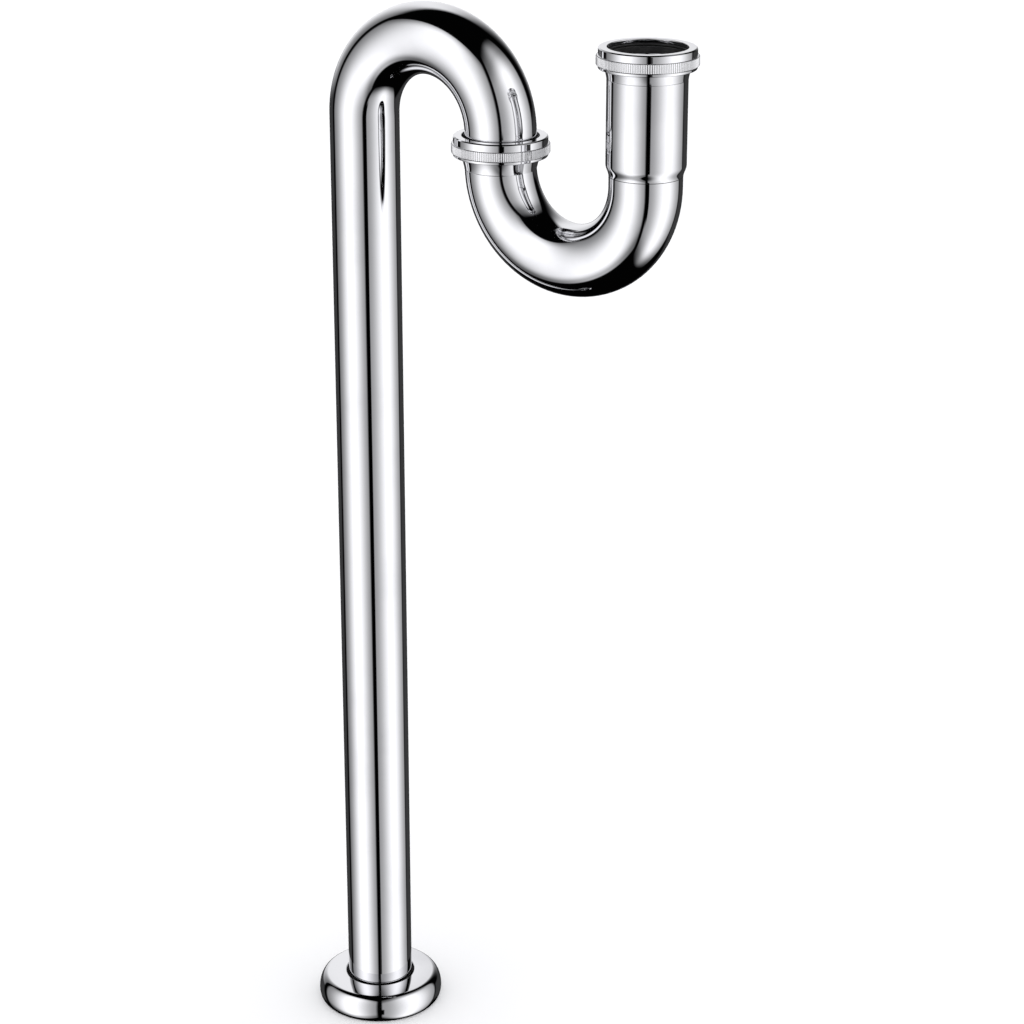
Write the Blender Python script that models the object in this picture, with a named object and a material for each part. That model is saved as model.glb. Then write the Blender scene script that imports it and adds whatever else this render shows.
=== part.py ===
"""Chromed S-shaped basin trap: outlet pipe with its arch, U bend, two slip unions and a floor flange.

Metres, +Z up. The origin is on the outlet pipe's axis at floor level, and the trap's plane is XZ:
the pipe stands on Z, arches over towards +X to the union, and the U bend rises to the inlet.
"""

import math

import bmesh
import bpy
from mathutils import Matrix, Vector

MM = 0.001
SIDES = 32                       # sides of every round piece
BEND_STEPS = 16                  # steps in each half-turn bend
GAP = 0.3 * MM                   # clearance between two pieces that touch in the real trap

# Pipes
PIPE_R = 16 * MM                 # 32 mm trap pipe
WALL = 1.0 * MM
BEND_R = 38 * MM                 # centre line of both bends
ARCH_Z = 457 * MM                # where the outlet pipe starts to bend over
U_Z = 443.3 * MM                 # where the U bend's legs become straight
UNION_X = 2 * BEND_R
INLET_X = 4 * BEND_R

# Nuts: one pattern, used at the union and at the inlet
NUT_H = 9.1 * MM
NUT_LIP_H = 1.6 * MM             # top wall of the nut, which presses the stack down
NUT_KNURL_R = 22.0 * MM
NUT_COLLAR_R = 21.1 * MM
NUT_HOLE_R = 17.3 * MM
THREAD_R = 19.2 * MM             # outside of the ferrules' thread
NUT_BORE_R = THREAD_R + GAP
UNION_NUT_Z = 447.2 * MM         # underside of the union nut
INLET_NUT_Z = 494.6 * MM         # underside of the inlet nut

# Heights inside a nut, from its underside
UNION_FERRULE_TOP = 4.0 * MM
INLET_FERRULE_TOP = 4.6 * MM
UNION_GASKET_H = 1.0 * MM
PIPE_COLLAR_H = 0.8 * MM
UNION_SLIP_H = 0.5 * MM
INLET_SLIP_H = 0.7 * MM
WASHER_R = 19.0 * MM             # outside of the loose rings in a nut
UNION_FLARE_H = 6.0 * MM         # flared necks of the ferrules, which end at a nut's underside
UNION_FLARE_R = 18.0 * MM
INLET_FLARE_H = 4.4 * MM
INLET_FLARE_R = 18.9 * MM

# Inlet socket, a sleeve brazed over the U bend
SOCKET_R = 17.4 * MM
SOCKET_FOOT_Z = 448.2 * MM
SOCKET_CONE_H = 4.6 * MM
SOCKET_TOP = 2.4 * MM            # above the inlet nut's underside
U_BEND_END_Z = 457 * MM          # where the U bend ends inside the socket

# Floor flange and the ring under it
FLANGE_R = 31.0 * MM
FLANGE_H = 13.9 * MM
FLANGE_WAIST_Z = 4.9 * MM        # where the flange is widest
FLANGE_SHOULDER_R = 4.8 * MM     # how far the rim rounds in above the waist
FLANGE_FOOT_R = 2.2 * MM         # and below it
FLANGE_CROWN = 0.7 * MM          # rise of the top from the shoulder to the hole
FLANGE_HOLE_R = 17.2 * MM
FLANGE_WALL = 1.0 * MM
GRIP_RING_Z = 8.9 * MM
GRIP_RING_H = 3.4 * MM
GRIP_RING_R = 19.8 * MM


def finish(name, colour, roughness, metallic):
    """A Principled material."""
    material = bpy.data.materials.new(name)
    material.use_nodes = True
    shader = material.node_tree.nodes["Principled BSDF"]
    shader.inputs["Base Color"].default_value = (*colour, 1)
    shader.inputs["Roughness"].default_value = roughness
    shader.inputs["Metallic"].default_value = metallic
    return material


def add_object(name, bm, material, location=(0, 0, 0)):
    """Turns a bmesh into a named, smooth-shaded object."""
    bmesh.ops.recalc_face_normals(bm, faces=bm.faces)
    mesh = bpy.data.meshes.new(name)
    bm.to_mesh(mesh)
    bm.free()
    mesh.materials.append(material)
    mesh.shade_smooth()
    mesh.set_sharp_from_angle(angle=math.radians(35))
    obj = bpy.data.objects.new(name, mesh)
    obj.location = location
    bpy.context.scene.collection.objects.link(obj)
    return obj


def turned(name, profile, material, location=(0, 0, 0)):
    """A ring turned about Z from a closed outline of (radius, height) points."""
    bm = bmesh.new()
    points = [bm.verts.new((r, 0, z)) for r, z in profile]
    outline = [bm.edges.new(pair) for pair in zip(points, points[1:] + points[:1])]
    bmesh.ops.spin(
        bm,
        geom=points + outline,
        axis=(0, 0, 1),
        cent=(0, 0, 0),
        angle=2 * math.pi,
        steps=SIDES,
        use_merge=True,
    )
    return add_object(name, bm, material, location)


def washer(inner, outer, low, high):
    """Outline of a plain flat ring."""
    return [(inner, low), (outer, low), (outer, high), (inner, high)]


def arc(centre_r, centre_z, radius_r, radius_z, start, end, steps):
    """Points on an ellipse in the (radius, height) plane, angles in degrees."""
    angles = [math.radians(start + (end - start) * k / steps) for k in range(steps + 1)]
    return [
        (centre_r + radius_r * math.cos(a), centre_z + radius_z * math.sin(a)) for a in angles
    ]


def flare(foot_r, top_r, height, steps):
    """Points up a flare that starts nearly upright and widens steadily; its top is at height 0."""
    shares = [k / steps for k in range(steps + 1)]
    spread = top_r - foot_r
    return [(foot_r + spread * t**1.3, height * (t - 1)) for t in shares]


def extrude_loop(bm, loop, shift):
    """Extrudes a loop of edges along a straight line and returns the new loop."""
    made = bmesh.ops.extrude_edge_only(bm, edges=loop)["geom"]
    moved = [v for v in made if isinstance(v, bmesh.types.BMVert)]
    bmesh.ops.translate(bm, verts=moved, vec=shift)
    return [e for e in made if isinstance(e, bmesh.types.BMEdge) and set(e.verts) <= set(moved)]


def bent_pipe(name, start, first_leg, bend_centre, last_leg, material):
    """A pipe with one half-turn bend in the XZ plane. It runs straight by first_leg, turns about
    bend_centre and runs straight by last_leg; the wall is made by a Solidify modifier."""
    bm = bmesh.new()
    bmesh.ops.create_circle(
        bm, segments=SIDES, radius=PIPE_R, matrix=Matrix.Translation(start)
    )
    loop = extrude_loop(bm, bm.edges[:], Vector((0, 0, first_leg)))
    going_up = first_leg > 0
    turned_part = bmesh.ops.spin(
        bm,
        geom=loop,
        axis=(0, 1 if going_up else -1, 0),
        cent=bend_centre,
        angle=math.pi,
        steps=BEND_STEPS,
    )["geom_last"]
    loop = [e for e in turned_part if isinstance(e, bmesh.types.BMEdge)]
    extrude_loop(bm, loop, Vector((0, 0, last_leg)))
    obj = add_object(name, bm, material)
    wall = obj.modifiers.new("wall", "SOLIDIFY")
    wall.thickness = WALL
    wall.offset = -1
    wall.use_even_offset = True
    return obj


def nut_outline():
    """Section of a union nut, its underside at height 0: knurled band, plain collar and top lip."""
    band_low, band_high = 1.6 * MM, 5.6 * MM
    bevel = 0.35 * MM
    lip_under = NUT_H - NUT_LIP_H
    return [
        (NUT_BORE_R + bevel, 0),
        (NUT_COLLAR_R - bevel, 0),
        (NUT_COLLAR_R, bevel),
        (NUT_COLLAR_R, band_low - bevel),
        (NUT_KNURL_R - bevel, band_low - bevel),
        (NUT_KNURL_R, band_low),
        (NUT_KNURL_R, band_high - bevel),
        (NUT_KNURL_R - bevel, band_high),
        (NUT_COLLAR_R, band_high),
        (NUT_COLLAR_R, NUT_H - 2 * bevel),
        (NUT_COLLAR_R - 2 * bevel, NUT_H),
        (NUT_HOLE_R + bevel, NUT_H),
        (NUT_HOLE_R, NUT_H - bevel),
        (NUT_HOLE_R, lip_under),
        (NUT_BORE_R, lip_under),
        (NUT_BORE_R, bevel),
    ]


def union_ferrule_outline():
    """Threaded ferrule brazed round the U bend's end, with a flared neck below the nut."""
    inner = PIPE_R + GAP
    return [
        (inner, -UNION_FLARE_H),
        *flare(inner + GAP, UNION_FLARE_R, UNION_FLARE_H, 6),
        (THREAD_R, 0.0),
        (THREAD_R, UNION_FERRULE_TOP - 0.4 * MM),
        (THREAD_R - 0.4 * MM, UNION_FERRULE_TOP),
        (inner, UNION_FERRULE_TOP),
    ]


def inlet_ferrule_outline():
    """Threaded ferrule brazed round the socket's mouth, with a cone inside for the gasket."""
    inner = SOCKET_R + GAP
    return [
        (inner, -INLET_FLARE_H),
        *flare(inner + GAP, INLET_FLARE_R, INLET_FLARE_H, 5),
        (THREAD_R, 0.0),
        (THREAD_R, INLET_FERRULE_TOP - 0.3 * MM),
        (THREAD_R - 0.3 * MM, INLET_FERRULE_TOP),
        (THREAD_R - 0.7 * MM, INLET_FERRULE_TOP),
        (inner, SOCKET_TOP + GAP),
    ]


def socket_outline():
    """Sleeve that takes the basin's tailpiece: a cone closes in on the U bend at its foot."""
    bore = SOCKET_R - WALL
    foot_bore = PIPE_R + GAP
    cone_top = SOCKET_FOOT_Z + SOCKET_CONE_H
    top = INLET_NUT_Z + SOCKET_TOP
    return [
        (foot_bore, SOCKET_FOOT_Z),
        (foot_bore + GAP, SOCKET_FOOT_Z),
        (foot_bore + 2 * GAP, SOCKET_FOOT_Z + GAP),
        (SOCKET_R, cone_top),
        (SOCKET_R, top),
        (bore, top),
        (bore, cone_top + GAP),
        (foot_bore, cone_top),
    ]


def flange_outline():
    """Shell of the floor flange: a turned-in lip to stand on, a round side and a nearly flat top."""
    skin = FLANGE_WALL
    foot_r = FLANGE_R - FLANGE_FOOT_R
    shoulder_r = FLANGE_R - FLANGE_SHOULDER_R
    waist = FLANGE_WAIST_Z
    rise = FLANGE_H - FLANGE_CROWN - waist
    in_foot = FLANGE_FOOT_R - skin
    in_shoulder = FLANGE_SHOULDER_R - skin
    return [
        (foot_r - skin, 0),
        *arc(foot_r, waist, FLANGE_FOOT_R, waist, -90, -15, 5),
        *arc(shoulder_r, waist, FLANGE_SHOULDER_R, rise, 0, 90, 9),
        (FLANGE_HOLE_R, FLANGE_H),
        (FLANGE_HOLE_R, FLANGE_H - skin),
        *arc(shoulder_r, waist, in_shoulder, rise - skin, 90, 0, 7),
        *arc(foot_r, waist, in_foot, waist - skin, -15, -90, 4),
        (foot_r - skin, skin),
    ]


def inlet_gasket_outline():
    """Wedge gasket: a cone that the nut pushes between the tailpiece and the ferrule's mouth."""
    bore = PIPE_R + GAP
    cone_foot_r = SOCKET_R
    cone_top_r = THREAD_R - 1.0 * MM
    foot = SOCKET_TOP + 1.6 * GAP
    shoulder = INLET_FERRULE_TOP + GAP
    top = NUT_H - NUT_LIP_H - INLET_SLIP_H - 2 * GAP
    return [
        (bore, foot),
        (cone_foot_r, foot),
        (cone_top_r, shoulder),
        (WASHER_R, shoulder),
        (WASHER_R, top),
        (bore, top),
    ]


def build_outlet_pipe(chrome):
    """The tall pipe with its arch, and the collar brazed on its end."""
    end_z = UNION_NUT_Z + UNION_FERRULE_TOP + UNION_GASKET_H + 2 * GAP
    bent_pipe(
        "outlet_pipe",
        start=(0, 0, 0),
        first_leg=ARCH_Z,
        bend_centre=(BEND_R, 0, ARCH_Z),
        last_leg=end_z - ARCH_Z,
        material=chrome,
    )
    turned(
        "pipe_collar",
        washer(PIPE_R + GAP, WASHER_R, 0, PIPE_COLLAR_H),
        chrome,
        (UNION_X, 0, end_z),
    )


def build_trap_bend(chrome, rubber):
    """The U bend with its two ferrules, the inlet socket and the two gaskets."""
    union_top = UNION_NUT_Z + UNION_FERRULE_TOP
    bent_pipe(
        "u_bend",
        start=(UNION_X, 0, union_top),
        first_leg=U_Z - union_top,
        bend_centre=(UNION_X + BEND_R, 0, U_Z),
        last_leg=U_BEND_END_Z - U_Z,
        material=chrome,
    )
    turned("inlet_socket", socket_outline(), chrome, (INLET_X, 0, 0))
    turned("union_ferrule", union_ferrule_outline(), chrome, (UNION_X, 0, UNION_NUT_Z))
    turned("inlet_ferrule", inlet_ferrule_outline(), chrome, (INLET_X, 0, INLET_NUT_Z))
    turned(
        "union_gasket",
        washer(PIPE_R - WALL + GAP, WASHER_R, 0, UNION_GASKET_H),
        rubber,
        (UNION_X, 0, union_top + GAP),
    )
    turned("inlet_gasket", inlet_gasket_outline(), rubber, (INLET_X, 0, INLET_NUT_Z))


def build_nut(place, x, z, slip_height, chrome, plastic):
    """A knurled nut and the slip ring under its lip, which keeps the turning nut off the rubber."""
    turned(f"{place}_nut", nut_outline(), chrome, (x, 0, z))
    slip_top = NUT_H - NUT_LIP_H - GAP
    turned(
        f"{place}_slip_ring",
        washer(PIPE_R + 0.5 * MM, WASHER_R, slip_top - slip_height, slip_top),
        plastic,
        (x, 0, z),
    )


def build_flange(chrome, rubber):
    """The floor flange and the rubber ring under it that grips the pipe."""
    turned("floor_flange", flange_outline(), chrome)
    turned(
        "flange_grip_ring",
        washer(PIPE_R + GAP, GRIP_RING_R, 0, GRIP_RING_H),
        rubber,
        (0, 0, GRIP_RING_Z),
    )


def main():
    for obj in list(bpy.data.objects):
        bpy.data.objects.remove(obj)
    chrome = finish("chrome", (0.83, 0.83, 0.85), 0.04, 1.0)
    rubber = finish("black_rubber", (0.02, 0.02, 0.02), 0.7, 0.0)
    plastic = finish("slip_plastic", (0.02, 0.02, 0.02), 0.4, 0.0)
    build_outlet_pipe(chrome)
    build_trap_bend(chrome, rubber)
    build_nut("union", UNION_X, UNION_NUT_Z, UNION_SLIP_H, chrome, plastic)
    build_nut("inlet", INLET_X, INLET_NUT_Z, INLET_SLIP_H, chrome, plastic)
    build_flange(chrome, rubber)


main()
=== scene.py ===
"""Looks of a chromed S-shaped basin trap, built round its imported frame.

Each sub-assembly is a class that reads its places from the frame, makes its meshes and dresses
them. Bent tubes, knurls and threads come from geometry node trees, and turned pieces from outlines
with rounded corners. Everything is in metres, +Z up, with the outlet pipe standing on Z.
"""

from __future__ import annotations

import logging
import math
from collections.abc import Mapping, Sequence
from dataclasses import dataclass, field
from enum import Enum

import bmesh
import bpy
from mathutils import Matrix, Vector


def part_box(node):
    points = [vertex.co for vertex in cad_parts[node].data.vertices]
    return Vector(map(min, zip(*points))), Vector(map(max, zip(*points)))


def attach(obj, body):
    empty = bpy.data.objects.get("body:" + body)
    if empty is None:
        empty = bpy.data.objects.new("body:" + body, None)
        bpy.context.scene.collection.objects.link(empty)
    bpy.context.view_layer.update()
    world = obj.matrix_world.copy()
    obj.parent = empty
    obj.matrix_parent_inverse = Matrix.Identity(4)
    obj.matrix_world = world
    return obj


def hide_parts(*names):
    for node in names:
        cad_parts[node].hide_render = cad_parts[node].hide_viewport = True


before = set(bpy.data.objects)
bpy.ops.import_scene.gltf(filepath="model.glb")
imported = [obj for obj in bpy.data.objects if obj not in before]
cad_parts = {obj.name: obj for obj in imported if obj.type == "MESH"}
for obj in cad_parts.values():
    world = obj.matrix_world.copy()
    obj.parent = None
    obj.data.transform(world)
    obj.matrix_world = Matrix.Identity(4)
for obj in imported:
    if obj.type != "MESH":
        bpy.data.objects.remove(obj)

log = logging.getLogger("trap")

MM = 0.001
TURN_STEPS = 128                 # sides of a turned piece
TUBE_SIDES = 112                 # sides of a bent tube
TUBE_STEP = 2.2 * MM             # length of a bent tube's mesh along its path
RIM_STEPS = 6                    # steps round a tube's cut edge
CORNER_STEPS = 5                 # steps round an outline's corner
SUPPORT = 0.04 * MM              # how close a flat keeps its normals to a corner
CURVE_STEPS = 20                 # steps up a neck or a cone
THREAD_STEPS = 72                # steps round one turn of a thread
THREAD_PITCH = 1.0 * MM


# --------------------------------------------------------------------------- node trees


@dataclass(frozen=True)
class Number:
    """A value socket in a node tree, with Python's operators standing for Math nodes."""

    sheet: "Sheet"
    socket: bpy.types.NodeSocket

    def math(self, operation: str, *values: "Number | float") -> "Number":
        """Adds one Math node.

        Args:
            operation: The Math node's operation.
            values: Its inputs, in order.

        Returns:
            The node's result.
        """
        made = self.sheet.node(
            "ShaderNodeMath", {"operation": operation}, dict(enumerate(values))
        )
        return Number(self.sheet, made.outputs[0])

    def __add__(self, other: "Number | float") -> "Number":
        """Sum."""
        return self.math("ADD", self, other)

    def __radd__(self, other: float) -> "Number":
        """Sum with a plain number first."""
        return self.math("ADD", other, self)

    def __sub__(self, other: "Number | float") -> "Number":
        """Difference."""
        return self.math("SUBTRACT", self, other)

    def __rsub__(self, other: float) -> "Number":
        """Difference with a plain number first."""
        return self.math("SUBTRACT", other, self)

    def __mul__(self, other: "Number | float") -> "Number":
        """Product."""
        return self.math("MULTIPLY", self, other)

    def __rmul__(self, other: float) -> "Number":
        """Product with a plain number first."""
        return self.math("MULTIPLY", other, self)

    def __truediv__(self, other: "Number | float") -> "Number":
        """Quotient."""
        return self.math("DIVIDE", self, other)

    def __rtruediv__(self, other: float) -> "Number":
        """Quotient with a plain number first."""
        return self.math("DIVIDE", other, self)

    def __pow__(self, other: "Number | float") -> "Number":
        """Power."""
        return self.math("POWER", self, other)

    def __neg__(self) -> "Number":
        """The value with its sign changed."""
        return self.math("MULTIPLY", self, -1.0)

    def __abs__(self) -> "Number":
        """The value without its sign."""
        return self.math("ABSOLUTE", self)

    def sin(self) -> "Number":
        """Sine of an angle in radians."""
        return self.math("SINE", self)

    def cos(self) -> "Number":
        """Cosine of an angle in radians."""
        return self.math("COSINE", self)

    def above(self, limit: "Number | float") -> "Number":
        """1 where the value is over the limit, else 0."""
        return self.math("GREATER_THAN", self, limit)

    def at_most(self, limit: "Number | float") -> "Number":
        """The smaller of the value and the limit."""
        return self.math("MINIMUM", self, limit)

    def between(self, low: "Number | float", high: "Number | float") -> "Number":
        """The value held between two limits."""
        return self.math("MINIMUM", self.math("MAXIMUM", self, low), high)

    def ease(self, low: float, high: float) -> "Number":
        """0 below low, 1 above high, and a smooth step between them."""
        made = self.sheet.node(
            "ShaderNodeMapRange",
            {"interpolation_type": "SMOOTHSTEP"},
            {"Value": self, "From Min": low, "From Max": high},
        )
        return Number(self.sheet, made.outputs["Result"])


@dataclass(frozen=True)
class Sheet:
    """A node tree with one method that adds any node."""

    tree: bpy.types.NodeTree

    def node(
        self,
        kind: str,
        settings: Mapping[str, object] | None = None,
        inputs: Mapping[str | int, object] | None = None,
    ) -> bpy.types.Node:
        """Adds a node.

        Args:
            kind: The node's type.
            settings: Its properties, set before its sockets.
            inputs: Values, sockets or Numbers for its input sockets, by name or index.

        Returns:
            The new node.
        """
        made = self.tree.nodes.new(kind)
        for name, value in (settings or {}).items():
            setattr(made, name, value)
        for key, value in (inputs or {}).items():
            if isinstance(value, Number):
                value = value.socket
            if isinstance(value, bpy.types.NodeSocket):
                self.tree.links.new(value, made.inputs[key])
            else:
                made.inputs[key].default_value = value
        return made

    def split(self, vector: bpy.types.NodeSocket) -> tuple[Number, Number, Number]:
        """The three parts of a vector."""
        parts = self.node("ShaderNodeSeparateXYZ", {}, {0: vector}).outputs
        return Number(self, parts[0]), Number(self, parts[1]), Number(self, parts[2])

    def join(
        self, x: Number | float, y: Number | float, z: Number | float
    ) -> bpy.types.NodeSocket:
        """A vector made of three parts."""
        return self.node("ShaderNodeCombineXYZ", {}, {0: x, 1: y, 2: z}).outputs[0]


# --------------------------------------------------------------------------- finishes


@dataclass(frozen=True)
class Finish:
    """A surface finish. Subclasses say how its nodes vary over the surface."""

    name: str
    slot: str

    def material(self) -> bpy.types.Material:
        """The finish's material, made once and then shared."""
        found = bpy.data.materials.get(self.name)
        if found:
            return found
        made = bpy.data.materials.new(self.name)
        made.use_nodes = True
        sheet = Sheet(made.node_tree)
        shader = made.node_tree.nodes["Principled BSDF"]
        self.paint(sheet, shader)
        return made

    def paint(self, sheet: Sheet, shader: bpy.types.Node) -> None:
        """Links the finish's nodes to the shader."""
        raise NotImplementedError

    @staticmethod
    def place(sheet: Sheet, stretch: Sequence[float] = (1, 1, 1)) -> bpy.types.NodeSocket:
        """Object coordinates, stretched along the axes."""
        spot = sheet.node("ShaderNodeTexCoord").outputs["Object"]
        return sheet.node("ShaderNodeMapping", {}, {"Vector": spot, "Scale": stretch}).outputs[0]

    @staticmethod
    def grain(
        sheet: Sheet, place: bpy.types.NodeSocket, scale: float, detail: float = 3.0
    ) -> Number:
        """Even noise from 0 to 1.

        Args:
            sheet: The tree to add it to.
            place: The coordinates it is laid on.
            scale: Grains in a metre.
            detail: Finer layers added to it.

        Returns:
            The noise.
        """
        made = sheet.node(
            "ShaderNodeTexNoise", {}, {"Vector": place, "Scale": scale, "Detail": detail}
        )
        return Number(sheet, made.outputs[0])

    @staticmethod
    def blend(
        sheet: Sheet, share: Number, low: Sequence[float], high: Sequence[float]
    ) -> bpy.types.NodeSocket:
        """A colour between two colours."""
        made = sheet.node(
            "ShaderNodeMix",
            {"data_type": "RGBA"},
            {"Factor": share, "A": (*low, 1), "B": (*high, 1)},
        )
        return made.outputs["Result"]


@dataclass(frozen=True)
class Chrome(Finish):
    """Chrome plate: a mirror with a trace of haze, polishing lines and waviness."""

    bright: tuple[float, float, float] = (0.86, 0.86, 0.875)
    dull: tuple[float, float, float] = (0.78, 0.78, 0.80)
    roughness: float = 0.03
    haze: float = 0.035
    line_height: float = 0.4e-6
    wave_height: float = 6.0e-6

    def paint(self, sheet: Sheet, shader: bpy.types.Node) -> None:
        """Links haze to the roughness and colour, and lines and waves to the normal."""
        place = self.place(sheet)
        smudge = self.grain(sheet, place, 38.0, 4.0).ease(0.45, 0.75)
        speck = self.grain(sheet, place, 1400.0, 2.0).ease(0.62, 0.78)
        lines = self.grain(sheet, self.place(sheet, (40, 40, 5200)), 1.0, 4.0)
        wave = self.grain(sheet, place, 42.0, 1.0)
        haze = smudge * 0.7 + speck * 0.3
        colour = self.blend(sheet, haze, self.bright, self.dull)
        height = lines * self.line_height + wave * self.wave_height
        bump = sheet.node(
            "ShaderNodeBump", {}, {"Strength": 1.0, "Distance": 1.0, "Height": height}
        )
        rough = haze * self.haze + self.roughness
        shader.inputs["Metallic"].default_value = 1.0
        sheet.tree.links.new(colour, shader.inputs["Base Color"])
        sheet.tree.links.new(rough.socket, shader.inputs["Roughness"])
        sheet.tree.links.new(bump.outputs[0], shader.inputs["Normal"])


@dataclass(frozen=True)
class RawBoreAndPaintedShade(Finish):
    """The unplated inside of a tube, near black: partly its own raw metal dulled by flux and water,
    partly painted shade for the dark inside the hollow tube.
    """

    # near-black tones: partly the raw metal's own dull colour, partly painted shade for the dark
    # inside the hollow
    light: tuple[float, float, float] = (0.030, 0.028, 0.025)
    dark: tuple[float, float, float] = (0.008, 0.008, 0.007)

    def paint(self, sheet: Sheet, shader: bpy.types.Node) -> None:
        """Links stains to the colour and roughness, and scale to the normal."""
        place = self.place(sheet)
        stain = self.grain(sheet, place, 160.0, 5.0).ease(0.35, 0.7)
        scale = self.grain(sheet, place, 900.0, 4.0)
        bump = sheet.node(
            "ShaderNodeBump", {}, {"Strength": 0.5, "Distance": 0.00008, "Height": scale}
        )
        shader.inputs["Metallic"].default_value = 0.6
        sheet.tree.links.new(self.blend(sheet, stain, self.dark, self.light), shader.inputs[0])
        sheet.tree.links.new((stain * 0.2 + 0.5).socket, shader.inputs["Roughness"])
        sheet.tree.links.new(bump.outputs[0], shader.inputs["Normal"])


@dataclass(frozen=True)
class Rubber(Finish):
    """Matt black moulded rubber with a fine skin."""

    dark: tuple[float, float, float] = (0.012, 0.012, 0.013)
    light: tuple[float, float, float] = (0.035, 0.034, 0.033)

    def paint(self, sheet: Sheet, shader: bpy.types.Node) -> None:
        """Links bloom to the colour and roughness, and the skin to the normal."""
        place = self.place(sheet)
        bloom = self.grain(sheet, place, 240.0, 4.0).ease(0.4, 0.75)
        skin = self.grain(sheet, place, 4200.0, 2.0)
        bump = sheet.node(
            "ShaderNodeBump", {}, {"Strength": 0.4, "Distance": 0.00006, "Height": skin}
        )
        sheet.tree.links.new(self.blend(sheet, bloom, self.dark, self.light), shader.inputs[0])
        sheet.tree.links.new((bloom * 0.15 + 0.6).socket, shader.inputs["Roughness"])
        sheet.tree.links.new(bump.outputs[0], shader.inputs["Normal"])


@dataclass(frozen=True)
class SlipPlastic(Finish):
    """Satin black slip plastic with a faint flow pattern."""

    light: tuple[float, float, float] = (0.026, 0.026, 0.027)
    dark: tuple[float, float, float] = (0.013, 0.013, 0.014)

    def paint(self, sheet: Sheet, shader: bpy.types.Node) -> None:
        """Links the flow pattern to the colour, roughness and normal."""
        place = self.place(sheet)
        flow = self.grain(sheet, place, 300.0, 3.0)
        bump = sheet.node(
            "ShaderNodeBump", {}, {"Strength": 0.3, "Distance": 0.00003, "Height": flow}
        )
        sheet.tree.links.new(self.blend(sheet, flow, self.dark, self.light), shader.inputs[0])
        sheet.tree.links.new((flow * 0.2 + 0.35).socket, shader.inputs["Roughness"])
        sheet.tree.links.new(bump.outputs[0], shader.inputs["Normal"])


@dataclass(frozen=True)
class FloorPaint(Finish):
    """Pale matt studio floor."""

    light: tuple[float, float, float] = (0.90, 0.90, 0.90)
    dark: tuple[float, float, float] = (0.885, 0.885, 0.885)

    def paint(self, sheet: Sheet, shader: bpy.types.Node) -> None:
        """Links a faint mottle to the colour."""
        mottle = self.grain(sheet, self.place(sheet), 3.0, 2.0)
        shader.inputs["Roughness"].default_value = 0.9
        shader.inputs["Specular IOR Level"].default_value = 0.0
        sheet.tree.links.new(self.blend(sheet, mottle, self.dark, self.light), shader.inputs[0])


class Surface(Enum):
    """The trap's finishes."""

    PIPE = Chrome("chrome_tube", "chrome_pipe")
    FITTING = Chrome("chrome_turned", "chrome_fitting", wave_height=2.0e-6)
    NUT = Chrome("chrome_nut_polish", "chrome_nut", wave_height=1.5e-6)
    KNURL = Chrome(
        "chrome_knurl",
        "chrome_nut",
        bright=(0.95, 0.95, 0.96),
        dull=(0.88, 0.88, 0.89),
        roughness=0.10,
        haze=0.08,
        wave_height=0.0,
    )
    FLANGE = Chrome("chrome_pressed", "chrome_flange", wave_height=7.0e-6)
    # the bore's near-black colour is partly painted shade for the dark inside the tubes
    BORE = RawBoreAndPaintedShade("raw_brass_bore", "chrome_pipe")
    RUBBER = Rubber("black_gasket_rubber", "black_rubber")
    SLIP = SlipPlastic("slip_ring_plastic", "slip_plastic")


# --------------------------------------------------------------------------- turned pieces


@dataclass
class Outline:
    """The closed section of a turned piece, in (radius, height), with its corners rounded."""

    corners: list[tuple[float, float, float]] = field(default_factory=list)

    def corner(self, radius: float, height: float, rounding: float = 0.0) -> "Outline":
        """Adds a corner with its rounding radius, and returns the outline."""
        self.corners.append((radius, height, rounding))
        return self

    def curve(self, points: Sequence[tuple[float, float]]) -> "Outline":
        """Adds a smooth run of points, and returns the outline."""
        self.corners.extend((radius, height, 0.0) for radius, height in points)
        return self

    def points(self) -> list[Vector]:
        """The outline's points, with each rounded corner as an arc between two supports."""
        places = [Vector((r, z)) for r, z, _ in self.corners]
        found: list[Vector] = []
        for index, (_, _, rounding) in enumerate(self.corners):
            here = places[index]
            if not rounding:
                found.append(here)
                continue
            back = places[index - 1] - here
            ahead = places[(index + 1) % len(places)] - here
            found.extend(self.fillet(here, back, ahead, rounding))
        return found

    @staticmethod
    def fillet(here: Vector, back: Vector, ahead: Vector, rounding: float) -> list[Vector]:
        """The arc that rounds one corner.

        Args:
            here: The corner.
            back: The way to the corner before it.
            ahead: The way to the corner after it.
            rounding: The arc's radius.

        Returns:
            The arc's points, with a support point on the flat at each end.
        """
        half = back.angle(ahead) / 2
        reach = rounding / math.tan(half)
        centre = here + (back.normalized() + ahead.normalized()).normalized() * (
            rounding / math.sin(half)
        )
        start = here + back.normalized() * reach
        end = here + ahead.normalized() * reach
        first = start - centre
        last = end - centre
        sweep = first.angle(last)
        points = [start + back.normalized() * SUPPORT]
        for step in range(CORNER_STEPS + 1):
            share = step / CORNER_STEPS
            mixed = (
                first * math.sin((1 - share) * sweep) + last * math.sin(share * sweep)
            ) / math.sin(sweep)
            points.append(centre + mixed)
        points.append(end + ahead.normalized() * SUPPORT)
        return points


def arc(
    centre: tuple[float, float],
    reach: tuple[float, float],
    start: float,
    end: float,
    steps: int,
) -> list[tuple[float, float]]:
    """Points on an ellipse.

    Args:
        centre: Its centre, as (radius, height).
        reach: Its half-axes.
        start: The first point's angle in degrees.
        end: The last point's angle in degrees.
        steps: How many steps to take.

    Returns:
        The points, as (radius, height).
    """
    angles = [math.radians(start + (end - start) * k / steps) for k in range(steps + 1)]
    return [
        (centre[0] + reach[0] * math.cos(a), centre[1] + reach[1] * math.sin(a)) for a in angles
    ]


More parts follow.
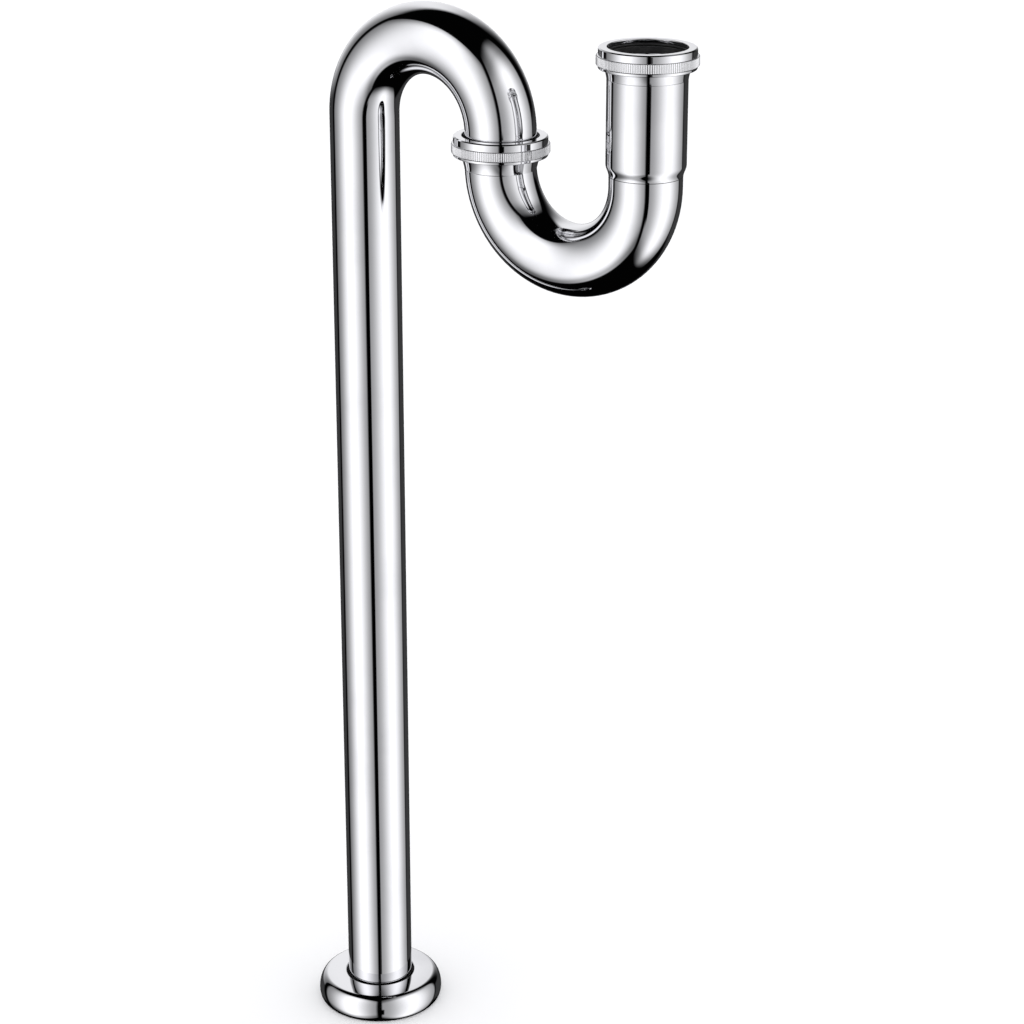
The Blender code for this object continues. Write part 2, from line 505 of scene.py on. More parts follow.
def swell(
    foot: float, top: float, low: float, high: float, steps: int
) -> list[tuple[float, float]]:
    """Points up a smooth widening that starts and ends upright.

    Args:
        foot: Radius at its foot.
        top: Radius at its top.
        low: Height of its foot.
        high: Height of its top.
        steps: How many steps to take.

    Returns:
        The points, as (radius, height).
    """
    shares = [k / steps for k in range(steps + 1)]
    return [
        (
            foot + (top - foot) * (1 - math.cos(math.pi * share)) / 2,
            low + (high - low) * share,
        )
        for share in shares
    ]


def turned(
    name: str,
    outline: Outline,
    centre_x: float,
    base_z: float,
    surface: Surface,
    bore: Surface | None = None,
) -> bpy.types.Object:
    """A piece turned about an upright axis.

    Args:
        name: The piece's name.
        outline: Its section, with heights from base_z.
        centre_x: Where its axis stands.
        base_z: The height of the outline's zero.
        surface: Its finish.
        bore: The finish of the innermost faces, if they differ.

    Returns:
        The piece.
    """
    points = outline.points()
    bm = bmesh.new()
    rings = []
    for radius, height in points:
        ring = []
        for side in range(TURN_STEPS):
            angle = 2 * math.pi * side / TURN_STEPS
            x = centre_x + radius * math.cos(angle)
            ring.append(bm.verts.new((x, radius * math.sin(angle), base_z + height)))
        rings.append(ring)
    inner = min(radius for radius, _ in points) + SUPPORT
    for index, ring in enumerate(rings):
        following = (index + 1) % len(rings)
        deep = bore is not None and max(points[index][0], points[following][0]) < inner
        for side in range(TURN_STEPS):
            after = (side + 1) % TURN_STEPS
            quad = (ring[side], ring[after], rings[following][after], rings[following][side])
            face = bm.faces.new(quad)
            face.smooth = True
            face.material_index = int(deep)
    bmesh.ops.recalc_face_normals(bm, faces=bm.faces)
    mesh = bpy.data.meshes.new(name)
    bm.to_mesh(mesh)
    bm.free()
    mesh.materials.append(surface.value.material())
    if bore:
        mesh.materials.append(bore.value.material())
    made = bpy.data.objects.new(name, mesh)
    bpy.context.scene.collection.objects.link(made)
    return made


# --------------------------------------------------------------------------- grown pieces


class Recipe:
    """A geometry node tree with named inputs, which grows pieces."""

    title = ""
    sizes: tuple[str, ...] = ()
    counts: tuple[str, ...] = ()
    finishes: tuple[str, ...] = ("Finish",)

    def __init__(self) -> None:
        """Makes the tree, its sockets and its nodes."""
        self.tree = bpy.data.node_groups.new(self.title, "GeometryNodeTree")
        self.sheet = Sheet(self.tree)
        kinds = (
            (self.sizes, "NodeSocketFloat"),
            (self.counts, "NodeSocketInt"),
            (self.finishes, "NodeSocketMaterial"),
        )
        for names, kind in kinds:
            for name in names:
                self.tree.interface.new_socket(name, in_out="INPUT", socket_type=kind)
        self.tree.interface.new_socket(
            "Geometry", in_out="OUTPUT", socket_type="NodeSocketGeometry"
        )
        self.given = self.sheet.node("NodeGroupInput")
        self.sheet.node("NodeGroupOutput", {}, {"Geometry": self.grow()})

    def size(self, name: str) -> Number:
        """One of the tree's inputs."""
        return Number(self.sheet, self.given.outputs[name])

    def grow(self) -> bpy.types.NodeSocket:
        """Adds the tree's nodes and returns its geometry."""
        raise NotImplementedError

    def closing(self, geometry: bpy.types.NodeSocket) -> bpy.types.NodeSocket:
        """Ends a tree: real meshes, smooth, with their finish."""
        real = self.sheet.node("GeometryNodeRealizeInstances", {}, {0: geometry}).outputs[0]
        smooth = self.sheet.node("GeometryNodeSetShadeSmooth", {}, {"Geometry": real}).outputs[0]
        return self.sheet.node(
            "GeometryNodeSetMaterial",
            {},
            {"Geometry": smooth, "Material": self.given.outputs["Finish"]},
        ).outputs[0]

    def piece(self, name: str, **values: object) -> bpy.types.Object:
        """Grows a piece as a plain mesh.

        Args:
            name: The piece's name.
            values: The tree's inputs, with underscores for spaces.

        Returns:
            The piece, without its modifier.
        """
        holder = bpy.data.objects.new(name, bpy.data.meshes.new(name))
        bpy.context.scene.collection.objects.link(holder)
        modifier = holder.modifiers.new(self.title, "NODES")
        modifier.node_group = self.tree
        for item in self.tree.interface.items_tree:
            key = item.name.replace(" ", "_").lower()
            if key in values:
                modifier[item.identifier] = values[key]
        drawn = holder.evaluated_get(bpy.context.evaluated_depsgraph_get())
        mesh = bpy.data.meshes.new_from_object(drawn)
        holder.modifiers.remove(modifier)
        holder.data = mesh
        return holder


class BentTube(Recipe):
    """A tube that runs straight, turns half round in the XZ plane and runs straight again.

    A flat grid is rolled up: its rows run out along the outside, round the cut edge, back along the
    bore and round the other edge, and its columns go round the tube.
    """

    title = "bent_tube"
    sizes = (
        "Radius",
        "Wall",
        "Bend Radius",
        "First Leg",
        "Last Leg",
        "Start X",
        "Start Z",
        "Upward",
    )
    counts = ("Along", "Around", "Rim")
    finishes = ("Finish", "Bore Finish")
    mark = "lining"

    def grow(self) -> bpy.types.NodeSocket:
        """Rolls the grid up into the tube."""
        sheet = self.sheet
        wall, bend = self.size("Wall"), self.size("Bend Radius")
        first, last = self.size("First Leg"), self.size("Last Leg")
        upward = self.size("Upward")
        along, around, rim = self.size("Along"), self.size("Around"), self.size("Rim")
        rows = (along + rim) * 2.0
        grid = sheet.node(
            "GeometryNodeMeshGrid",
            {},
            {
                "Size X": rows,
                "Size Y": around,
                "Vertices X": rows + 1.0,
                "Vertices Y": around + 1.0,
            },
        ).outputs[0]
        spot = sheet.node("GeometryNodeInputPosition").outputs[0]
        column, line, _ = sheet.split(spot)
        row = column + rows * 0.5
        side = (line + around * 0.5) / around * (2 * math.pi)
        out = row.between(0.0, along)
        back = (row - along - rim).between(0.0, along)
        rounded = (row - along).between(0.0, rim) + (row - along * 2.0 - rim).between(0.0, rim)
        edge = rounded / rim * math.pi
        length = first + bend * math.pi + last
        travel = wall * 0.5 + (out - back) / along * (length - wall) + edge.sin() * wall * 0.5
        radius = self.size("Radius") - wall * 0.5 + edge.cos() * wall * 0.5
        turn = ((travel - first) / bend).between(0.0, math.pi)
        rise = travel.at_most(first)
        fall = (travel - first - bend * math.pi).between(0.0, 10.0)
        reach = radius * side.cos()
        x = self.size("Start X") + bend - (bend + reach) * turn.cos()
        z = self.size("Start Z") + upward * (rise - fall + (bend + reach) * turn.sin())
        marked = sheet.node(
            "GeometryNodeStoreNamedAttribute",
            {"data_type": "FLOAT", "domain": "POINT"},
            {"Geometry": grid, "Name": self.mark, "Value": (-edge.cos()).above(0.0)},
        ).outputs[0]
        rolled = sheet.node(
            "GeometryNodeSetPosition",
            {},
            {"Geometry": marked, "Position": sheet.join(x, radius * side.sin(), z)},
        ).outputs[0]
        sealed = sheet.node(
            "GeometryNodeMergeByDistance", {}, {"Geometry": rolled, "Distance": 0.01 * MM}
        ).outputs[0]
        faced = sheet.node(
            "GeometryNodeFlipFaces", {}, {"Mesh": sealed, "Selection": (-upward).above(0.0)}
        ).outputs[0]
        lining = sheet.node(
            "GeometryNodeInputNamedAttribute", {"data_type": "FLOAT"}, {"Name": self.mark}
        ).outputs[0]
        return sheet.node(
            "GeometryNodeSetMaterial",
            {},
            {
                "Geometry": self.closing(faced),
                "Selection": Number(sheet, lining).above(0.7),
                "Material": self.given.outputs["Bore Finish"],
            },
        ).outputs[0]


class Knurl(Recipe):
    """A band of straight ridges round an upright axis."""

    title = "knurl"
    sizes = ("Root Radius", "Ridge", "Band", "Chamfer", "Centre X", "Base Z")
    counts = ("Teeth",)

    def grow(self) -> bpy.types.NodeSocket:
        """Shapes one ridge and sets it round a circle."""
        sheet = self.sheet
        root, ridge, band = self.size("Root Radius"), self.size("Ridge"), self.size("Band")
        pitch = root * (2 * math.pi) / self.size("Teeth")
        block = sheet.node(
            "GeometryNodeMeshCube",
            {},
            {
                "Size": sheet.join(ridge * 2.0, pitch, band),
                "Vertices X": 2,
                "Vertices Y": 2,
                "Vertices Z": 4,
            },
        ).outputs[0]
        x, y, z = sheet.split(sheet.node("GeometryNodeInputPosition").outputs[0])
        outer = x.above(0.0)
        end = abs(z).above(band * 0.3)
        shoulder = (1.0 - self.size("Chamfer") * 2.0 / band) * 3.0
        shaped = sheet.node(
            "GeometryNodeSetPosition",
            {},
            {
                "Geometry": block,
                "Position": sheet.join(
                    x * (1.0 - outer * end * 0.8),
                    y * (1.0 - outer * 0.72),
                    z * (end + (1.0 - end) * shoulder),
                ),
            },
        ).outputs[0]
        circle = sheet.node(
            "GeometryNodeMeshCircle",
            {},
            {"Vertices": self.size("Teeth"), "Radius": root},
        ).outputs[0]
        px, py, _ = sheet.split(sheet.node("GeometryNodeInputPosition").outputs[0])
        ridges = sheet.node(
            "GeometryNodeInstanceOnPoints",
            {},
            {
                "Points": circle,
                "Instance": shaped,
                "Rotation": sheet.join(0.0, 0.0, px.math("ARCTAN2", py, px)),
            },
        ).outputs[0]
        placed = sheet.node(
            "GeometryNodeTransform",
            {},
            {
                "Geometry": ridges,
                "Translation": sheet.join(
                    self.size("Centre X"), 0.0, self.size("Base Z") + band * 0.5
                ),
            },
        ).outputs[0]
        return self.closing(placed)


class Thread(Recipe):
    """A right-hand thread: a ridge wound up round an upright axis, fading out at both ends."""

    title = "thread"
    sizes = ("Radius", "Ridge", "Pitch", "Turns", "Centre X", "Base Z")
    counts = ("Steps",)

    def grow(self) -> bpy.types.NodeSocket:
        """Winds the ridge."""
        sheet = self.sheet
        turns = self.size("Turns")
        spiral = sheet.node(
            "GeometryNodeCurveSpiral",
            {},
            {
                "Resolution": self.size("Steps"),
                "Rotations": turns,
                "Start Radius": self.size("Radius"),
                "End Radius": self.size("Radius"),
                "Height": turns * self.size("Pitch"),
            },
        ).outputs[0]
        share = Number(sheet, sheet.node("GeometryNodeSplineParameter").outputs["Factor"])
        fade = (share.at_most(1.0 - share) * turns).between(0.02, 0.3) / 0.3
        thinned = sheet.node(
            "GeometryNodeSetCurveRadius", {}, {"Curve": spiral, "Radius": fade}
        ).outputs[0]
        upright = sheet.node(
            "GeometryNodeSetCurveNormal", {"mode": "Z_UP"}, {"Curve": thinned}
        ).outputs[0]
        section = sheet.node(
            "GeometryNodeCurvePrimitiveCircle",
            {"mode": "RADIUS"},
            {"Resolution": 4, "Radius": self.size("Ridge")},
        ).outputs[0]
        ridge = sheet.node(
            "GeometryNodeCurveToMesh",
            {},
            {"Curve": upright, "Profile Curve": section, "Fill Caps": True},
        ).outputs[0]
        placed = sheet.node(
            "GeometryNodeTransform",
            {},
            {
                "Geometry": ridge,
                "Translation": sheet.join(self.size("Centre X"), 0.0, self.size("Base Z")),
            },
        ).outputs[0]
        return self.closing(placed)


# --------------------------------------------------------------------------- sub-assemblies


@dataclass
class Workshop:
    """The three recipes that the sub-assemblies grow their pieces with."""

    tube: BentTube = field(default_factory=BentTube)
    knurl: Knurl = field(default_factory=Knurl)
    thread: Thread = field(default_factory=Thread)


@dataclass
class Seat:
    """Where an upright CAD piece stands: its axis, its foot and top, and its radius."""

    x: float
    low: float
    high: float
    radius: float

    @classmethod
    def of(cls, node: str) -> "Seat":
        """The seat of a round CAD node."""
        low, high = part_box(node)
        return cls((low.x + high.x) / 2, low.z, high.z, (high.y - low.y) / 2)

    @property
    def height(self) -> float:
        """From foot to top."""
        return self.high - self.low


def plain_ring(
    name: str, seat: Seat, hole: float, rounding: float, surface: Surface
) -> bpy.types.Object:
    """A flat ring with rounded edges, as high and as wide as its seat.

    Args:
        name: The piece's name.
        seat: Where it stands.
        hole: Radius of its hole.
        rounding: Radius of its four edges.
        surface: Its finish.

    Returns:
        The piece.
    """
    section = Outline()
    for r, z in ((hole, 0), (seat.radius, 0), (seat.radius, seat.height), (hole, seat.height)):
        section.corner(r, z, rounding)
    return turned(name, section, seat.x, seat.low, surface)


def fit(
    piece: bpy.types.Object, body: str, surface: Surface, *nodes: str
) -> bpy.types.Object:
    """Puts a finished piece on its body.

    Args:
        piece: The piece.
        body: The CAD body that it rides on.
        surface: Its finish. Not used.
        nodes: The CAD nodes that it stands for.

    Returns:
        The piece.
    """
    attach(piece, body)
    if nodes:
        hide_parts(*nodes)
    log.info("%s rides on %s, %d faces", piece.name, body, len(piece.data.polygons))
    return piece


@dataclass
class OutletLeg:
    """The tall outlet pipe with its arch, and the collar brazed on its union end."""

    workshop: Workshop
    wall: float = 1.0 * MM
    collar_gap: float = 0.1 * MM
    collar_rounding: float = 0.2 * MM
    body: str = "outlet"

    def build(self) -> None:
        """Makes the pipe and its collar."""
        low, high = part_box("outlet_pipe")
        radius = (high.y - low.y) / 2
        bend = (high.x - low.x) / 2 - radius
        arch = high.z - bend - radius
        collar = Seat.of("pipe_collar")
        length = arch + math.pi * bend + arch - collar.low
        pipe = self.workshop.tube.piece(
            "outlet_pipe_tube",
            radius=radius,
            wall=self.wall,
            bend_radius=bend,
            first_leg=arch,
            last_leg=arch - collar.low,
            start_x=low.x + radius,
            start_z=low.z,
            upward=1.0,
            along=round(length / TUBE_STEP),
            around=TUBE_SIDES,
            rim=RIM_STEPS,
            finish=Surface.PIPE.value.material(),
            bore_finish=Surface.BORE.value.material(),
        )
        fit(pipe, self.body, Surface.PIPE, "outlet_pipe")
        made = plain_ring(
            "pipe_collar_ring",
            collar,
            radius + self.collar_gap,
            self.collar_rounding,
            Surface.FITTING,
        )
        fit(made, self.body, Surface.FITTING, "pipe_collar")


@dataclass
class TrapBend:
    """The U bend with its inlet socket, its two threaded ferrules and the two gaskets."""

    workshop: Workshop
    wall: float = 1.0 * MM
    thread_ridge: float = 0.32 * MM
    cone: float = 5.2 * MM
    union_flare: float = 6.0 * MM
    union_spread: float = 1.7 * MM
    inlet_flare: float = 4.4 * MM
    inlet_spread: float = 1.0 * MM
    neck_curve: float = 1.3
    solder: float = 0.03 * MM
    gasket_gap: float = 0.3 * MM
    body: str = "trap"

    def build(self) -> None:
        """Makes every piece that swings with the bend."""
        self.bend()
        self.socket()
        self.ferrules()
        self.gaskets()

    def bend(self) -> None:
        """The U bend's tube."""
        low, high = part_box("u_bend")
        radius = (high.y - low.y) / 2
        bend = (high.x - low.x) / 2 - radius
        foot = low.z + bend + radius
        start = Seat.of("union_ferrule").high
        length = start - foot + math.pi * bend + high.z - foot
        tube = self.workshop.tube.piece(
            "u_bend_tube",
            radius=radius,
            wall=self.wall,
            bend_radius=bend,
            first_leg=start - foot,
            last_leg=high.z - foot,
            start_x=low.x + radius,
            start_z=start,
            upward=-1.0,
            along=round(length / TUBE_STEP),
            around=TUBE_SIDES,
            rim=RIM_STEPS,
            finish=Surface.PIPE.value.material(),
            bore_finish=Surface.BORE.value.material(),
        )
        fit(tube, self.body, Surface.PIPE, "u_bend")

    def socket(self) -> None:
        """The sleeve for the basin's tailpiece, which closes in on the bend at its foot."""
        seat = Seat.of("inlet_socket")
        bore = seat.radius - self.wall
        inside = Seat.of("u_bend").radius + 0.04 * MM
        sleeve = Outline()
        sleeve.corner(inside, 0)
        sleeve.curve(swell(inside + 0.02 * MM, seat.radius, 0, self.cone, CURVE_STEPS))
        sleeve.corner(seat.radius, seat.height, 0.2 * MM)
        sleeve.corner(bore, seat.height, 0.2 * MM)
        sleeve.corner(bore, self.cone + 0.4 * MM, 0.05 * MM)
        sleeve.corner(inside, self.cone - 0.6 * MM)
        made = turned(
            "inlet_socket_sleeve", sleeve, seat.x, seat.low, Surface.PIPE, Surface.BORE
        )
        fit(made, self.body, Surface.PIPE, "inlet_socket")

    def ferrule(self, node: str, tube: float, flare: float, spread: float) -> None:
        """A threaded ferrule with a flared neck below its thread.

        Args:
            node: The CAD node that it stands for.
            tube: Radius of the tube that it is brazed on.
            flare: Height of its neck.
            spread: How much the neck widens.
        """
        seat = Seat.of(node)
        root = seat.radius - self.thread_ridge
        bore = tube + self.solder
        foot = bore + 0.02 * MM
        neck = [
            (foot + spread * (k / CURVE_STEPS) ** self.neck_curve, flare * k / CURVE_STEPS)
            for k in range(CURVE_STEPS + 1)
        ]
        outline = Outline()
        outline.corner(bore, 0)
        outline.curve(neck)
        outline.corner(root, flare, 0.1 * MM)
        outline.corner(root, seat.height, 0.25 * MM)
        outline.corner(bore, seat.height, 0.15 * MM)
        made = turned(f"{node}_body", outline, seat.x, seat.low, Surface.FITTING)
        fit(made, self.body, Surface.FITTING, node)
        room = seat.height - flare - 1.0 * MM
        thread = self.workshop.thread.piece(
            f"{node}_thread",
            radius=root,
            ridge=self.thread_ridge,
            pitch=THREAD_PITCH,
            turns=room / THREAD_PITCH,
            centre_x=seat.x,
            base_z=seat.low + flare + 0.6 * MM,
            steps=THREAD_STEPS,
            finish=Surface.FITTING.value.material(),
        )
        fit(thread, self.body, Surface.FITTING)

    def ferrules(self) -> None:
        """The ferrules on the bend's union end and at the socket's mouth."""
        tube = Seat.of("u_bend").radius
        socket = Seat.of("inlet_socket").radius
        self.ferrule("union_ferrule", tube, self.union_flare, self.union_spread)
        self.ferrule("inlet_ferrule", socket, self.inlet_flare, self.inlet_spread)

    def gaskets(self) -> None:
        """The flat union gasket and the wedge gasket at the inlet."""
        flat = Seat.of("union_gasket")
        tube = Seat.of("outlet_pipe")
        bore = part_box("u_bend")[1].y - self.wall + self.gasket_gap
        made = plain_ring("union_gasket_ring", flat, bore, 0.3 * MM, Surface.RUBBER)
        fit(made, self.body, Surface.RUBBER, "union_gasket")
        wedge = Seat.of("inlet_gasket")
        shoulder = wedge.height - 1.3 * MM
        inside = tube.radius + self.gasket_gap
        outline = Outline()
        outline.corner(inside, 0, 0.25 * MM)
        outline.corner(wedge.radius - 1.6 * MM, 0, 0.25 * MM)
        outline.corner(wedge.radius - 0.8 * MM, shoulder, 0.2 * MM)
        outline.corner(wedge.radius, shoulder, 0.25 * MM)
        outline.corner(wedge.radius, wedge.height, 0.3 * MM)
        outline.corner(inside, wedge.height, 0.3 * MM)
        made = turned("inlet_gasket_ring", outline, wedge.x, wedge.low, Surface.RUBBER)
        fit(made, self.body, Surface.RUBBER, "inlet_gasket")


@dataclass
class SlipNut:
    """A knurled slip nut and the slip ring under its lip."""

    workshop: Workshop
    place: str
    band_low: float = 1.5 * MM
    band_high: float = 5.6 * MM
    lip: float = 1.6 * MM
    hole: float = 17.3 * MM
    collar_step: float = 0.9 * MM
    ridge: float = 0.28 * MM
    bore_step: float = 1.6 * MM
    thread_ridge: float = 0.14 * MM
    thread_turns: float = 5.0
    ring_hole: float = 16.5 * MM
    teeth: int = 140

    def build(self) -> None:
        """Makes the nut, its knurl, its thread and its slip ring."""
        self.shell()
        self.slip_ring()

    def shell(self) -> None:
        """The nut's body, turned, with its knurled band and inner thread."""
        node = f"{self.place}_nut"
        seat = Seat.of(node)
        root = seat.radius - self.ridge
        collar = seat.radius - self.collar_step
        bore = collar - self.bore_step
        top = seat.height
        edge = 0.35 * MM
        shape = Outline()
        shape.corner(bore, 0, 0.2 * MM)
        shape.corner(collar, 0, edge)
        shape.corner(collar, self.band_low - 0.25 * MM, 0.15 * MM)
        shape.corner(root - 0.2 * MM, self.band_low - 0.25 * MM, 0.1 * MM)
        shape.corner(root, self.band_low + 0.1 * MM, 0.1 * MM)
        shape.corner(root, self.band_high - 0.1 * MM, 0.1 * MM)
        shape.corner(root - 0.2 * MM, self.band_high, 0.1 * MM)
        shape.corner(collar, self.band_high, 0.15 * MM)
        shape.corner(collar, top - 0.55 * MM, 0.25 * MM)
        shape.corner(collar - 0.55 * MM, top, 0.25 * MM)
        shape.corner(self.hole, top, 0.35 * MM)
        shape.corner(self.hole, top - self.lip, 0.2 * MM)
        shape.corner(bore, top - self.lip, 0.3 * MM)
        made = turned(f"{node}_shell", shape, seat.x, seat.low, Surface.NUT)
        fit(made, node, Surface.NUT, node)
        knurl = self.workshop.knurl.piece(
            f"{node}_knurl",
            root_radius=root,
            ridge=self.ridge,
            band=self.band_high - self.band_low,
            chamfer=0.35 * MM,
            centre_x=seat.x,
            base_z=seat.low + self.band_low,
            teeth=self.teeth,
            finish=Surface.KNURL.value.material(),
        )
        fit(knurl, node, Surface.KNURL)
        thread = self.workshop.thread.piece(
            f"{node}_thread",
            radius=bore,
            ridge=self.thread_ridge,
            pitch=THREAD_PITCH,
            turns=self.thread_turns,
            centre_x=seat.x,
            base_z=seat.low + 0.7 * MM,
            steps=THREAD_STEPS,
            finish=Surface.NUT.value.material(),
        )
        fit(thread, node, Surface.NUT)

    def slip_ring(self) -> None:
        """The thin ring that lets the nut turn without dragging the rubber."""
        node = f"{self.place}_slip_ring"
        seat = Seat.of(node)
        made = plain_ring(f"{node}_washer", seat, self.ring_hole, 0.15 * MM, Surface.SLIP)
        fit(made, f"{self.place}_ring", Surface.SLIP, node)


@dataclass
class FloorFlange:
    """The pressed floor flange and the rubber ring inside it that grips the pipe."""

    waist: float = 4.9 * MM
    shoulder: float = 4.8 * MM
    foot: float = 2.2 * MM
    crown: float = 0.7 * MM
    wall: float = 1.0 * MM
    hole: float = 17.2 * MM
    grip_bore: float = 16.15 * MM

    def build(self) -> None:
        """Makes the pressing and its ring."""
        seat = Seat.of("floor_flange")
        rise = seat.height - self.crown - self.waist
        over = (seat.radius - self.shoulder, self.waist)
        under = (seat.radius - self.foot, self.waist)
        lip = (self.hole + self.wall / 2, seat.height - self.wall / 2)
        skin = self.wall
        shell = Outline()
        shell.corner(under[0] - skin, 0, 0.2 * MM)
        shell.curve(arc(under, (self.foot, self.waist), -90, -4, 20))
        shell.curve(arc(over, (self.shoulder, rise), 0, 87, 32))
        shell.curve(arc(lip, (skin / 2, skin / 2), 86, 266, 10))
        shell.curve(arc(over, (self.shoulder - skin, rise - skin), 87, 0, 28))
        shell.curve(arc(under, (self.foot - skin, self.waist - skin), -4, -90, 14))
        shell.corner(under[0] - skin, skin, 0.2 * MM)
        made = turned("floor_flange_pressing", shell, seat.x, seat.low, Surface.FLANGE)
        fit(made, "flange", Surface.FLANGE, "floor_flange")
        self.grip_ring()

    def grip_ring(self) -> None:
        """The rubber ring that keeps the flange where it is put."""
        seat = Seat.of("flange_grip_ring")
        made = plain_ring(
            "flange_grip_ring_rubber", seat, self.grip_bore, 0.8 * MM, Surface.RUBBER
        )
        fit(made, "flange_ring", Surface.RUBBER, "flange_grip_ring")


# --------------------------------------------------------------------------- studio


@dataclass(frozen=True)
class Panel:
    """A tall softbox of the tent, brightest down its middle.

    Angles are in degrees, round to the right from the camera. The top and bottom edges are straight
    and level, so they are given as slopes seen from the panel's middle. Each edge is a pair of
    values: where it starts to fade and where it ends.
    """

    facing: float
    focus: float
    key: float
    wash: float
    left: tuple[float, float]
    right: tuple[float, float]
    top: tuple[float, float]
    bottom: tuple[float, float]
    upper_fade: tuple[float, float] = (0.7, 1.5)
    lower_fade: tuple[float, float] = (-1.4, -0.7)
    fade: float = 0.6

    def brightness(self, around: Number, up: Number) -> Number:
        """The panel's light in a direction.

        Args:
            around: Degrees round to the right from the camera.
            up: The direction's height, as a sine.

        Returns:
            Its brightness there.
        """
        turned_by = around - self.facing
        off = turned_by.math("WRAP", turned_by, 180.0, -180.0)
        level = (1.0 - up * up).between(0.0, 1.0) ** 0.5
        across = (off * math.radians(1)).cos().between(0.0, 1.0)
        slope = up / (level * across).between(0.02, 1.0)
        inside = off.ease(*self.left) * (1.0 - off.ease(*self.right))
        inside = inside * (1.0 - slope.ease(*self.top)) * slope.ease(*self.bottom)
        upper = 1.0 - slope.ease(*self.upper_fade) * self.fade
        lower = 1.0 - (1.0 - slope.ease(*self.lower_fade)) * self.fade
        return inside * upper * lower * (across**self.focus * self.key + self.wash)


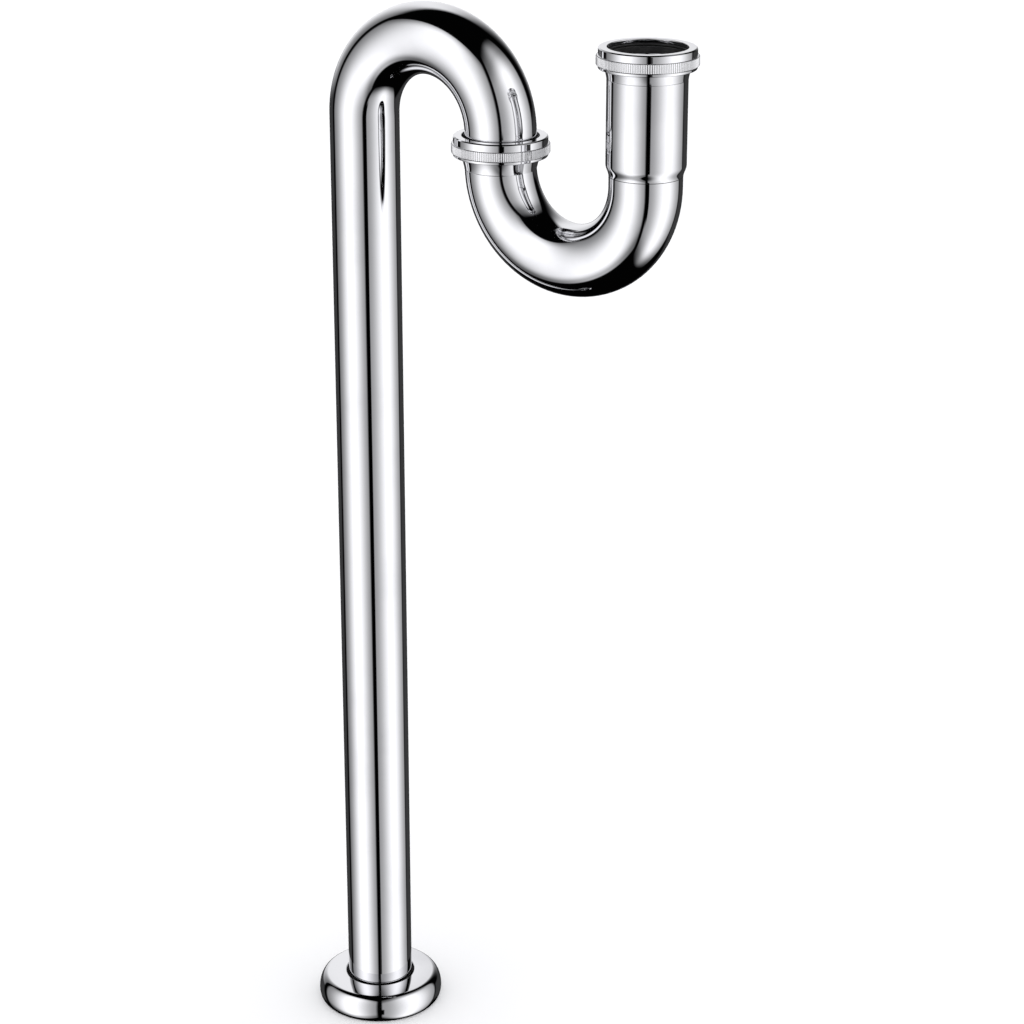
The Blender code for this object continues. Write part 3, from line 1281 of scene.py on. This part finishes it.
@dataclass
class Studio:
    """A white tent of three softboxes that leaves narrow dark gaps and a dark ceiling."""

    facing: float = 35.0
    pitch: float = 20.31
    distance: float = 1.33336
    target: tuple[float, float, float] = (0.0551, 0.0386, 0.26255)
    lens: float = 97.6
    floor_size: float = 60.0
    dark: float = 0.0008
    soft_light: float = 1.3
    left_box: Panel = Panel(
        facing=-54.0,
        focus=5.5,
        key=1.15,
        wash=0.22,
        left=(-63.0, -56.0),
        right=(46.0, 52.0),
        top=(1.28, 1.42),
        bottom=(-1.9, -1.6),
    )
    right_box: Panel = Panel(
        facing=65.0,
        focus=5.3,
        key=1.0,
        wash=0.32,
        left=(-62.0, -58.5),
        right=(51.0, 58.0),
        top=(1.3, 2.7),
        bottom=(-3.2, -1.8),
        lower_fade=(-2.4, -1.2),
    )
    back_box: Panel = Panel(
        facing=187.0,
        focus=7.0,
        key=0.85,
        wash=0.12,
        left=(-52.0, -10.0),
        right=(46.0, 50.0),
        top=(1.0, 1.6),
        bottom=(-0.2, -0.02),
        fade=0.2,
    )

    def build(self) -> None:
        """Makes the floor, the light and the camera."""
        self.floor()
        self.tent()
        self.camera()
        bpy.context.scene.view_settings.view_transform = "Standard"

    def floor(self) -> None:
        """A pale floor that the chrome doesn't mirror."""
        half = self.floor_size / 2
        mesh = bpy.data.meshes.new("studio_floor")
        corners = [(-half, -half, 0), (half, -half, 0), (half, half, 0), (-half, half, 0)]
        mesh.from_pydata(corners, [], [(0, 1, 2, 3)])
        mesh.materials.append(FloorPaint("studio_floor_paint", "").material())
        plane = bpy.data.objects.new("studio_floor", mesh)
        plane.visible_glossy = False
        bpy.context.scene.collection.objects.link(plane)

    def camera(self) -> None:
        """The camera, aimed at the middle of the trap."""
        turn = math.radians(self.facing)
        tilt = math.radians(self.pitch)
        back = Vector(
            (math.sin(turn) * math.cos(tilt), -math.cos(turn) * math.cos(tilt), math.sin(tilt))
        )
        lens = bpy.data.cameras.new("studio_camera")
        lens.sensor_width = 36.0
        lens.lens = self.lens
        lens.clip_start = 0.05
        made = bpy.data.objects.new("studio_camera", lens)
        made.location = Vector(self.target) + back * self.distance
        made.rotation_euler = back.to_track_quat("Z", "Y").to_euler()
        bpy.context.scene.collection.objects.link(made)
        bpy.context.scene.camera = made

    def tent(self) -> None:
        """The light all round, as a brightness that depends on the direction."""
        world = bpy.data.worlds.new("studio_tent")
        world.use_nodes = True
        sheet = Sheet(world.node_tree)
        turn = math.radians(self.facing)
        way = sheet.node("ShaderNodeTexCoord").outputs["Generated"]
        aims = ((math.cos(turn), math.sin(turn), 0), (math.sin(turn), -math.cos(turn), 0))
        right, front = (
            Number(
                sheet,
                sheet.node(
                    "ShaderNodeVectorMath", {"operation": "DOT_PRODUCT"}, {0: way, 1: aim}
                ).outputs["Value"],
            )
            for aim in aims
        )
        _, _, up = sheet.split(way)
        around = right.math("ARCTAN2", right, front) * (180 / math.pi)
        light = self.backdrop(around, up) + self.dark
        for panel in (self.left_box, self.right_box, self.back_box):
            light = panel.brightness(around, up) + light
        light = light * (1.0 - self.stand(around, up))
        path = sheet.node("ShaderNodeLightPath").outputs
        seen = Number(sheet, path["Is Camera Ray"])
        soft = Number(sheet, path["Is Diffuse Ray"])
        shown = light * (1.0 - seen) * (1.0 - soft) + seen + soft * self.soft_light
        output = world.node_tree.nodes["World Output"]
        sky = world.node_tree.nodes["Background"]
        sheet.tree.links.new(shown.socket, sky.inputs["Strength"])
        sky.inputs["Color"].default_value = (0.98, 0.982, 1.0, 1)
        sheet.tree.links.new(sky.outputs[0], output.inputs[0])
        bpy.context.scene.world = world

    @staticmethod
    def backdrop(around: Number, up: Number) -> Number:
        """The dark grey cloth low down behind the trap, past the panels' black frames."""
        low = up.ease(-0.62, -0.5) * (1.0 - up.ease(-0.15, 0.0))
        return abs(around).ease(123.0, 128.0) * low * 0.045

    @staticmethod
    def stand(around: Number, up: Number) -> Number:
        """How much the camera's stand hides, low down in the gap between the front panels."""
        across = around.ease(-4.0, -1.5) * (1.0 - around.ease(7.5, 10.0))
        return across * up.ease(-0.62, -0.46) * (1.0 - up.ease(-0.22, -0.10))


def main() -> None:
    """Builds the trap and the studio in order."""
    logging.basicConfig(level=logging.INFO, format="%(name)s: %(message)s")
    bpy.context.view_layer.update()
    workshop = Workshop()
    OutletLeg(workshop).build()
    TrapBend(workshop).build()
    SlipNut(workshop, "union").build()
    SlipNut(workshop, "inlet").build()
    FloorFlange().build()
    Studio().build()


if __name__ == "__main__":
    main()
